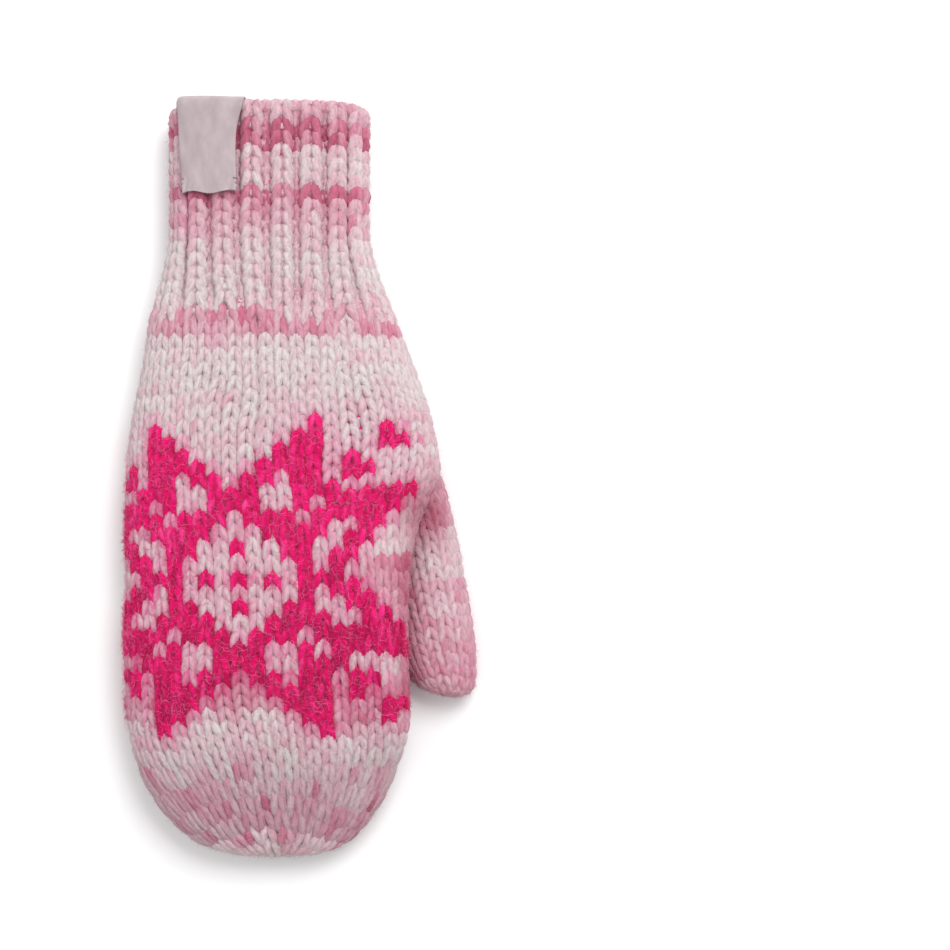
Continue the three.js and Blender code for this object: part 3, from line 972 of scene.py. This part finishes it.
def backing(name, fabric, courses, columns, depths, color_of, ribbed=False):
    """A thin closed layer inside the knitting, which shows only between the stitches, in colours painted
    deeper as shade.

    Its outside runs along the courses at the first depth, and its inside comes back at the second. A
    ribbed one is the cuff's and closes on itself, and the others close at the tip, on two poles.
    """
    turns = np.arange(columns) / columns
    course = np.concatenate([courses[::-1], courses])[:, None] + 0 * turns
    depth = np.repeat(depths, len(courses))[:, None] + 0 * turns
    turn = turns + 0 * course
    if ribbed:
        depth = depth + rib_depth(turn, course)
    points, _ = fabric.at(course, turn, depth)
    colors = color_of(course, turn)
    if ribbed:
        faces = (grid_faces(len(course) + 1, columns) % course.size).tolist()
    else:
        points, colors, faces = close_poles(points, colors)
    new_mesh(name, points, faces, SHADED_FELT, colors.reshape(-1, 3))


def close_poles(points, colors):
    """The grid's points and colours with one more at each end, and its faces with fans of triangles there."""
    rows, columns, _ = points.shape
    first = points[0].mean(axis=0)
    last = points[-1].mean(axis=0)
    j = np.arange(columns)
    j1 = (j + 1) % columns
    start = rows * columns
    cap = np.stack([np.full(columns, start), j1, j], axis=-1)
    base = (rows - 1) * columns
    foot = np.stack([np.full(columns, start + 1), base + j, base + j1], axis=-1)
    all_points = np.concatenate([points.reshape(-1, 3), [first, last]])
    all_colors = np.concatenate([colors.reshape(-1, 3), [colors[0, 0], colors[-1, 0]]])
    return all_points, all_colors, grid_faces(rows, columns).tolist() + cap.tolist() + foot.tolist()


def fibres(name, fabric, course, turn, height, length, curl, colors):
    """Loose fibres: thin three-sided threads with pointed ends, lying near the surface.

    Each starts at its own course and turn and goes its own way, which swings steadily as it goes. It
    rises from the yarn to its own height and comes down again.
    """
    count = len(course)
    share = np.linspace(0, 1, FIBRE_RINGS)[None, :]
    heading = rng.uniform(0, TAU, (count, 1)) + curl[:, None] * (share - 0.5)
    heading = heading + 0.8 * np.sin(TAU * (share * 1.5 + rng.uniform(0, 1, (count, 1))))
    step = length[:, None] / (FIBRE_RINGS - 1)
    x = np.cumsum(np.cos(heading), axis=1) * step
    y = np.cumsum(np.sin(heading), axis=1) * step
    path_turn = turn[:, None] + x / np.maximum(fabric.width(course), 20.0)[:, None]
    path_course = np.clip(course[:, None] + y / COURSE_HEIGHT, fabric.first + 0.05, fabric.last - 0.05)
    depth = 0.5 - height[:, None] * np.sin(np.pi * np.clip(share * 0.85 + 0.1, 0, 1))
    centres, out = fabric.at(path_course, path_turn, depth)
    centres[..., 2] = np.maximum(centres[..., 2], 0.1)
    ahead = unit(np.gradient(centres, axis=1))
    circle = circle_across(ahead[:, 1:-1], out[:, 1:-1], 3)
    body = (centres[:, 1:-1, None] + circle * FIBRE_RADIUS).reshape(count, -1, 3)
    points = np.concatenate([centres[:, :1], body, centres[:, -1:]], axis=1)
    per = points.shape[1]
    s = np.arange(3)
    s1 = (s + 1) % 3
    low = 1 + np.arange(FIBRE_RINGS - 3)[:, None] * 3
    quads = np.stack([low + s, low + s1, low + 3 + s1, low + 3 + s], axis=-1).reshape(-1, 4)
    start = np.stack([np.zeros(3, int), s1 + 1, s + 1], axis=-1)
    end_low = 1 + (FIBRE_RINGS - 3) * 3
    end = np.stack([np.full(3, per - 1), end_low + s, end_low + s1], axis=-1)
    base = (np.arange(count) * per)[:, None, None]
    faces = (base + quads).reshape(-1, 4).tolist()
    faces += (base + np.concatenate([start, end])).reshape(-1, 3).tolist()
    new_mesh(name, points, faces, FLUFF, np.repeat(colors, per, axis=0))


def short_hairs(name, fabric, course, turn, length, colors, radius, ribbed=False):
    """The wool's nap: short bent hairs, each two three-sided points that meet at a small triangle.

    A hair starts inside the yarn and goes up at a slant, by its own angle from the outward direction,
    and its second half turns aside and lies lower.
    """
    count = len(course)
    depth = rng.uniform(0.5, 1.6, count)
    if ribbed:
        depth = depth + rib_depth(turn, course)
    root, out = fabric.at(course, turn, depth)
    level = unit(np.cross(out, (0.0, 1.0, 0.001)))
    other = np.cross(out, level)

    def slanted(heading, slant):
        """Directions at a slant from outwards, towards a heading round it."""
        ahead = level * np.cos(heading)[:, None] + other * np.sin(heading)[:, None]
        return ahead * np.sin(slant)[:, None] + out * np.cos(slant)[:, None]

    heading = rng.uniform(0, TAU, count)
    slant = rng.uniform(0.7, 1.45, count)
    first = slanted(heading, slant)
    bent = slant + rng.uniform(-0.2, 0.6, count)
    second = slanted(heading + rng.normal(0, 0.9, count), bent)
    middle = root + first * length[:, None] / 2
    tip = middle + second * length[:, None] / 2
    keep = np.minimum(middle[:, 2], tip[:, 2]) > 0.15
    ring = middle[:, None] + circle_across(first, out, 3) * radius
    points = np.concatenate([root[:, None], ring, tip[:, None]], axis=1)[keep]
    pattern = np.array([(0, 2, 1), (0, 3, 2), (0, 1, 3), (4, 1, 2), (4, 2, 3), (4, 3, 1)])
    faces = (np.arange(len(points))[:, None, None] * 5 + pattern).reshape(-1, 3).tolist()
    new_mesh(name, points, faces, FLUFF, np.repeat(colors[keep], 5, axis=0))


def nap(name, fabric, stripes, low, high, count, ribbed=False, bare=None):
    """Short hairs strewn over a fabric, a little paler than the stripes under them.

    Where it is bare few are left, and more of them round the fabric's sides.
    """
    course = rng.uniform(low, high, count)
    turn = rng.uniform(0, 1, count)
    if bare is not None:
        side = np.abs(from_back(turn))
        left = 0.12 + 0.5 * smoothstep(side, 0.13, 0.22)
        keep = ~bare(course, turn) | (rng.uniform(0, 1, count) < left)
        course, turn = course[keep], turn[keep]
        count = len(course)
    shade = np.interp(course, *stripes.T) + rng.normal(-0.1, 0.45, count)
    colors = shade_color(np.clip(shade, 0, 4), SHADES)
    length = rng.uniform(*HAIR_LENGTHS, count)
    short_hairs(name, fabric, course, turn, length, colors, HAIR_RADIUS, ribbed)


def knit_tip(name, fabric, start, rounds, stripes, paint_shade, loose=1.0, fleck=0.0):
    """A gathered tip: one piece for each round of stitches, with fewer and fewer of them.

    The function passed in darkens the colours with painted shade, given the points, the colours and the
    course.
    """
    for course, count in enumerate(rounds, start):
        courses = np.array([course])
        points, faces, uv = knit_courses(fabric, courses, count, thick=TIP_THICK)
        colors = paint_shade(points, yarn_colors(yarn_shades(stripes, courses, count, loose, fleck)), course)
        new_mesh(f"{name}_{count}", points, faces, YARN, colors, uv)


def cast_on_edge():
    """The ring of yarn at the cuff's rim, which waves in and out of its stitches."""
    q = np.arange(CUFF_WALES * STEPS) / STEPS
    turn = rib_turn(q)
    course = -1.2 + 0.14 * np.cos(TAU * q)
    depth = 1.7 + 0.35 * np.sin(TAU * q) + 0.5 * rib_depth(turn, course)
    centres, out = CUFF_KNIT.at(course[None], turn[None], depth[None])
    points, faces, uv = ring_tubes(centres, out, np.full((1, len(q)), YARN_RADIUS * 0.9))
    colors = yarn_colors(1.2 + wander(1, CUFF_WALES, 1.5, 0.5))
    new_mesh("cast_on_edge", points, faces, YARN, colors, uv)


def dress_cuff():
    """The cuff's ribbed yarn, its cast-on edge, its backing and its nap."""
    courses = np.arange(-1, CUFF_COURSES)
    points, faces, uv = knit_courses(CUFF_KNIT, courses, CUFF_WALES, ribbed=True, thick=CUFF_THICK)
    # Painted shade: the yarn deeper down in the purl wales between the ribs, and paler on the knit wales'
    # tops.
    groove_shade = np.cos(np.pi * (np.arange(CUFF_WALES * STEPS) / STEPS - 0.5))
    colors = yarn_colors(yarn_shades(STRIPES, courses, CUFF_WALES, 0.6) + 0.1 + 0.35 * groove_shade)
    cuff = new_mesh("cuff_yarn", points, faces, YARN, colors, uv)
    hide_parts("cuff")
    cast_on_edge()
    rows = np.linspace(-0.9, CUFF_COURSES, 28)
    backing("cuff_backing", CUFF_KNIT, rows, 160, CUFF_BACKING, shaded_backing_color, ribbed=True)
    nap("cuff_nap", CUFF_KNIT, STRIPES, -0.8, CUFF_COURSES, CUFF_HAIRS, ribbed=True)


def shaded_backing_color(course, turn):
    """The backing's colour, with painted shade between the stitches: the stripes, two thirds of a shade
    deeper and a little darker, and the star's, a little darker, within the star.
    """
    shade = np.interp(course, *STRIPES.T)
    # Painted shade: the stripes deeper and darker where they show between the stitches.
    color = shade_color(shade + 0.7, SHADES) * 0.94
    in_star = smoothstep(-np.abs(course - STAR_COURSE - 0.5), -12.3, -11.2)[..., None]
    side = np.abs(from_back(turn))[..., None]
    in_star = in_star * smoothstep(-side, -0.32, -0.26)
    return color * (1 - 0.75 * in_star) + BRIGHT[1] * 0.9 * 0.75 * in_star


def in_star(course, turn):
    """True where a course and turn fall on a bright stitch of the star."""
    return star_at(np.floor(course - 0.3).astype(int), np.round(turn * HAND_WALES).astype(int))


def shade_near_tip(points, colors, course):
    """The hand's colours near its tip, darker by painted shade."""
    return colors * (1 - TIP_SHADE * (course < TIP_SHADE_END))


def strew(pick):
    """A course and a turn by chance within each of the picked stitches of the star."""
    course = STAR_FIRST + 0.5 + pick[:, 0] + rng.uniform(-0.5, 0.5, len(pick))
    return course, (pick[:, 1] + rng.uniform(-0.5, 0.5, len(pick))) / HAND_WALES


def dress_star():
    """The nap and the loose fibres of the star's own yarn."""
    rows = np.arange(STAR_FIRST, 2 * STAR_COURSE - STAR_FIRST + 1)
    stitches = np.argwhere(star_at(rows[:, None], np.arange(HAND_WALES)[None, :]))
    pick = stitches[rng.integers(0, len(stitches), STAR_HAIRS)]
    course, turn = strew(pick)
    colors = shade_color(np.clip(rng.normal(1.3, 0.8, len(pick)), 0, 2.6), BRIGHT)
    length = rng.uniform(*STAR_HAIR_LENGTHS, len(pick))
    short_hairs("star_nap", HAND_KNIT, course, turn, length, colors, STAR_HAIR_RADIUS)

    pick = pick[:STAR_FIBRES]
    course, turn = strew(pick)
    colors = shade_color(np.clip(rng.normal(2.0, 0.6, len(pick)), 0, 3), BRIGHT)
    height = rng.uniform(*FIBRE_HEIGHTS, len(pick))
    length = rng.uniform(*FIBRE_LENGTHS, len(pick))
    curl = rng.normal(0, FIBRE_CURL, len(pick))
    fibres("star_fibres", HAND_KNIT, course, turn, height, length, curl, colors)


def dress_hand():
    """The hand's yarn with its star, its gathered tip, its backing, its nap and its loose fibres."""
    wales = np.arange(HAND_WALES)[None, :]
    at = np.arange(HAND_WALES * STEPS) / STEPS
    for name, first, last in HAND_PIECES:
        courses = np.arange(first, last)
        points, faces, uv = knit_courses(HAND_KNIT, courses, HAND_WALES)
        row = courses[:, None]
        loose = 0.5 + 0.5 * smoothstep(row, 19, 25) + 0.6 * smoothstep(row, 42, 46)
        shades = yarn_shades(STRIPES, courses, HAND_WALES, loose, smoothstep(row, 45, 48))
        for middle, wale, extra in SIDE_STRIPES:
            away = ((row - middle) / STRIPE_COURSES) ** 2 + ((at - wale) / STRIPE_WALES) ** 2
            shades += extra * np.exp(-away)
        bright = star_at(row, wales)
        beside = star_at(row, wales - 1) * 1.0 + star_at(row, wales + 1)
        over = star_at(row - 1, wales) * 1.0 + star_at(row + 1, wales)
        haze = HAZE_BESIDE * beside + HAZE_OVER * over
        # Painted shade: the star's colour deeper over its lower rows, towards the tip.
        colors = yarn_colors(shades, bright, haze, 0.3 * smoothstep(row, 28, 40)[..., None])
        # Painted shade: the yarn darker over the last courses before the tip.
        colors *= 1 - TIP_SHADE * np.repeat(smoothstep(courses, 45, 49), len(points) // len(courses))[:, None]
        # Painted shade in the crease beside the thumb.
        colors = paint_crease_shade(points, colors, -1, CREASE_SHADE_ON_HAND)
        piece = new_mesh(name, points, faces, YARN, colors, uv)
        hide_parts("hand")

    tip = CUFF_COURSES + HAND_COURSES
    # The tip, with painted shade over its first rounds.
    knit_tip("hand_tip", HAND_KNIT, tip, TIP_ROUNDS, STRIPES, shade_near_tip, 1.6, 1.0)
    rows = np.linspace(CUFF_COURSES, HAND_KNIT.last - 0.15, 90)
    backing("hand_backing", HAND_KNIT, rows, 90, BACKING, shaded_backing_color)
    last = HAND_KNIT.last - 0.5
    nap("hand_nap", HAND_KNIT, STRIPES, CUFF_COURSES, last, HAND_HAIRS, bare=in_star)
    dress_star()


def shaded_thumb_backing_color(course, turn):
    """The thumb's backing: its stripes, nearly a shade deeper and a little darker, as painted shade between
    the stitches.
    """
    shade = np.interp(course, *THUMB_STRIPES.T)
    # Painted shade: the stripes deeper and darker where they show between the stitches.
    return shade_color(shade + 0.9, SHADES) * 0.92


def thumb_crease_shade(points, colors, course=None):
    """The thumb's colours, darkened by painted shade in the crease beside the hand."""
    return paint_crease_shade(points, colors, 1, CREASE_SHADE_ON_THUMB)


def dress_thumb():
    """The thumb's yarn, its gathered tip, its backing and its nap."""
    courses = np.arange(THUMB_COURSES)
    points, faces, uv = knit_courses(THUMB, courses, THUMB_WALES)
    # Painted shade in the crease beside the hand.
    colors = thumb_crease_shade(points, yarn_colors(yarn_shades(THUMB_STRIPES, courses, THUMB_WALES)))
    thumb = new_mesh("thumb_yarn", points, faces, YARN, colors, uv)
    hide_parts("thumb")
    # The thumb's tip, with the same painted shade in the crease.
    knit_tip(
        "thumb_tip", THUMB, THUMB_COURSES, THUMB_TIP_ROUNDS, THUMB_STRIPES, thumb_crease_shade,
    )
    rows = np.linspace(0.2, THUMB.last - 0.1, 48)
    backing("thumb_backing", THUMB, rows, 48, BACKING, shaded_thumb_backing_color)
    nap("thumb_nap", THUMB, THUMB_STRIPES, 1.5, THUMB.last - 0.5, THUMB_HAIRS)


def paint_crease_shade(points, colors, outwards, reach):
    """The colours, darkened by painted shade in the crease where the thumb goes under the hand's edge.

    The crease runs along the hand's edge beside the thumb. The painted shade fades with the distance from
    that edge, to one side of it where outwards is 1 and to the other where it is -1. A spot over the thumb's
    root, where the yarn is matted and painted with the same shade, is as deep.
    """
    places = np.linspace(0, 1, 400)
    row = read_table(HAND_SECTIONS, places)
    along = (-points[:, 1] - CUFF_LENGTH - GAP) / HAND_LENGTH
    edge = np.interp(along, row[:, 0], row[:, 2]) * HAND_WIDTH
    start, end = THUMB_LINE[1, 1] + 0.02, THUMB_LINE[-1, 1] + 0.03
    beside = window(along, start, start + 0.07, end - 0.04, end)
    away = (points[:, 0] - edge) * outwards
    depth = beside * (1 - smoothstep(away, -1.5, reach))
    # A spot over the thumb's root, on its upper side, partly matted yarn and partly painted shade beside the
    # hand's edge.
    root = ((points[:, 0] - MATTED_AND_SHADED_SPOT[0]) / 8.0) ** 2 + ((points[:, 1] - MATTED_AND_SHADED_SPOT[1]) / 10.0) ** 2
    depth = np.maximum(depth, 1.3 * np.exp(-root) * smoothstep(points[:, 2], 9, 14))[:, None]
    # Painted shade: the colours are tinted towards the crease's tint by how deep the shade is.
    return colors * (1 - depth + depth * np.array(CREASE_SHADE_TINT))


def dress_label():
    """The woven tape folded over the cuff's edge, and the stitches that tack its lower corners.

    Its middle line runs up the cuff's outside, round the fold and down the inside, and carries a flat
    strip's section. The fold flares to one side, the other edge leans, the strip waves a little, and its
    corners pucker.
    """
    satin = satin_material("satin_tape")
    middle = RIB_WALL / 2
    radius = middle + 0.75
    arc = np.linspace(-np.pi / 2, np.pi / 2, 15)[1:-1]
    front = np.linspace(LABEL_DROP, middle, 34)
    back = np.linspace(middle, LABEL_DROP - 2, 16)
    along = np.concatenate([front, middle - radius * np.cos(arc), back])[:, None]
    depth = np.concatenate([0 * front - radius, radius * np.sin(arc), 0 * back + radius])[:, None] + middle
    on_front = np.concatenate([0 * front + 1, 0.5 - 0.5 * np.sin(arc), 0 * back])[:, None]
    across = np.linspace(-0.5, 0.5, TAPE_COLUMNS)[None, :]

    flare = np.exp(-((along + 0.5) / 8.0) ** 2) * smoothstep(across, -0.2, 0.5)
    down_share = np.clip(along / LABEL_DROP, 0, 1)
    nip = 1 - 0.045 * np.sin(np.pi * down_share)
    lean = smoothstep(-across, -0.3, 0.5) * (LEAN_BOTTOM * down_share - LEAN_TOP * (1 - down_share))
    share = across * nip + 0.1 * flare - TAPE_SHIFT + lean
    wave = 0.22 * np.sin(5.2 * across + 0.17 * along) + 0.13 * np.sin(13 * across - 0.3 * along)
    corner = np.exp(-((along - LABEL_DROP + 1.5) / 3.2) ** 2)
    pucker = corner * np.exp(-((np.abs(across) - 0.4) / 0.1) ** 2) * np.sin(38 * across + 0.9 * along)
    lift = on_front * (0.35 + wave + 0.42 * pucker + 1.1 * flare)
    lower_edge = 0.5 * np.sin(9 * across + 1.0) * smoothstep(along, LABEL_DROP - 4, LABEL_DROP) * on_front
    slope = 0.6 * smoothstep(-across, -0.5, 0.5) * (1 - along / LABEL_DROP)
    run = along + lower_edge + (0.9 * flare - slope) * on_front
    step = 0.001
    ends = CUFF.read(CUFF.points, np.zeros(2), LABEL_TURN + np.array([-step, step]))
    per_width = 2 * step / np.linalg.norm(ends[1] - ends[0])
    turn = LABEL_TURN + share * LABEL_WIDTH * per_width
    points, _ = CUFF.at(np.maximum(run, 0), turn + 0 * run, depth - lift)
    points[..., 1] = np.where(run < 0, -run, points[..., 1])

    normal = unit(np.cross(np.gradient(points, axis=0), np.gradient(points, axis=1)))
    half = normal * TAPE_THICKNESS / 2
    ring = np.concatenate([points + half, (points - half)[:, ::-1]], axis=1)
    rows, around = ring.shape[:2]
    faces = grid_faces(rows, around)
    j = np.arange(TAPE_COLUMNS - 1)
    end = np.stack([j, around - 1 - j, around - 2 - j, j + 1], axis=-1)
    last = (rows - 1) * around
    foot = np.stack([last + j, last + j + 1, last + around - 2 - j, last + around - 1 - j], axis=-1)
    faces = np.concatenate([faces, end[:, ::-1], foot[:, ::-1]])[:, ::-1]
    u = np.concatenate([across[0], across[0, ::-1]]) * LABEL_WIDTH
    v = np.cumsum(np.concatenate([[0], np.hypot(np.diff(along[:, 0]), np.diff(depth[:, 0]))]))
    uv = np.stack(np.broadcast_arrays(u[None, :], v[:, None]), axis=-1).reshape(-1, 2)[faces.reshape(-1)]
    tape = new_mesh("label_tape", ring, faces.tolist(), satin, uv=uv)
    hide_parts("label")
    for side, name in ((-1, "tack_left"), (1, "tack_right")):
        tack_stitches(name, side, per_width)


def tack_stitches(name, side, per_width):
    """Three small hand stitches over one lower corner of the label, each a half loop with closed ends."""
    step = np.linspace(0, 1, 9)
    all_points, all_faces = [], []
    for k in range(3):
        along = LABEL_DROP - 1.2 - 1.7 * k + 1.5 * (step - 0.5) * (1 - 0.4 * k)
        share = side * (0.475 - 0.02 * k + 0.07 * step) - TAPE_SHIFT + LEAN_BOTTOM * (side < 0)
        height = -1.0 - 1.25 * np.sin(np.pi * step) ** 0.7
        turn = LABEL_TURN + share * LABEL_WIDTH * per_width
        points, out = CUFF.at(along, turn, height + 0.6)
        tube = points[:, None] + TACK_RADIUS * circle_across(unit(np.gradient(points, axis=0)), out, 6)
        body, _, faces = close_poles(tube, np.zeros_like(tube))
        start = len(body) * k
        all_points.append(body)
        all_faces += [[start + v for v in face] for face in faces]
    new_mesh(name, np.concatenate(all_points), all_faces, THREAD)


def set_stage():
    """A pale floor, soft light from above, and the camera straight above the photograph's middle."""
    floor_material = plain_material("pale_floor", (0.93, 0.93, 0.93), 0.9)
    corners = [(x * FLOOR_HALF, y * FLOOR_HALF, 0) for x, y in ((-1, -1), (1, -1), (1, 1), (-1, 1))]
    mesh = bpy.data.meshes.new("floor")
    mesh.from_pydata(corners, [], [(0, 1, 2, 3)])
    mesh.materials.append(floor_material)
    floor = add_object("floor", mesh)

    world = bpy.data.worlds.new("studio")
    world.use_nodes = True
    world.node_tree.nodes["Background"].inputs["Color"].default_value = (1, 1, 1, 1)
    world.node_tree.nodes["Background"].inputs["Strength"].default_value = 0.62
    bpy.context.scene.world = world

    for name, place, power, size in LAMPS:
        light = bpy.data.lights.new(name, "AREA")
        light.energy = power
        light.size = size
        lamp = add_object(name, light)
        lamp.location = place
        lamp.rotation_mode = "QUATERNION"
        lamp.rotation_quaternion = (-Vector(place)).to_track_quat("-Z", "Y")

    camera = bpy.data.cameras.new("camera")
    camera.lens = 85
    camera.sensor_width = 36
    camera.sensor_fit = "HORIZONTAL"
    shot = add_object("camera", camera)
    shot.location = CAMERA_PLACE
    bpy.context.scene.camera = shot
    bpy.context.scene.view_settings.view_transform = "Standard"


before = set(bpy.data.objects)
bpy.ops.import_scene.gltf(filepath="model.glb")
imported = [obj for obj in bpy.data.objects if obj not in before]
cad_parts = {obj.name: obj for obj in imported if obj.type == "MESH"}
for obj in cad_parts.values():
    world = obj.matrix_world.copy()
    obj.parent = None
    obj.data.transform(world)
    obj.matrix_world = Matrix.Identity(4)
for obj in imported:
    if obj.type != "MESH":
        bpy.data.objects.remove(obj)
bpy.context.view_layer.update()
cuff_low, cuff_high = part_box("cuff")
first_section = HAND_SECTIONS[0]
middle_x = (cuff_low[0] + cuff_high[0]) / 2 / MM - (first_section[2] - first_section[1]) / 2 * HAND_WIDTH
SHIFT = np.array((middle_x, cuff_high[1] / MM, 0.0))

CUFF_KNIT = cuff_fabric()
HAND_KNIT = hand_fabric()
THUMB = thumb_fabric()
CUFF = bare_cuff()

YARN = yarn_material("brushed_yarn", 0.5, 0.4, 0.6)
SHADED_FELT = backing_material("matted_fibres_in_shade")
FLUFF = yarn_material("loose_fibres", 0.0, 0.3, 0.0)
THREAD = plain_material("tacking_thread", (0.32, 0.16, 0.21), 0.8)
dress_cuff()
dress_hand()
dress_thumb()
dress_label()
set_stage()
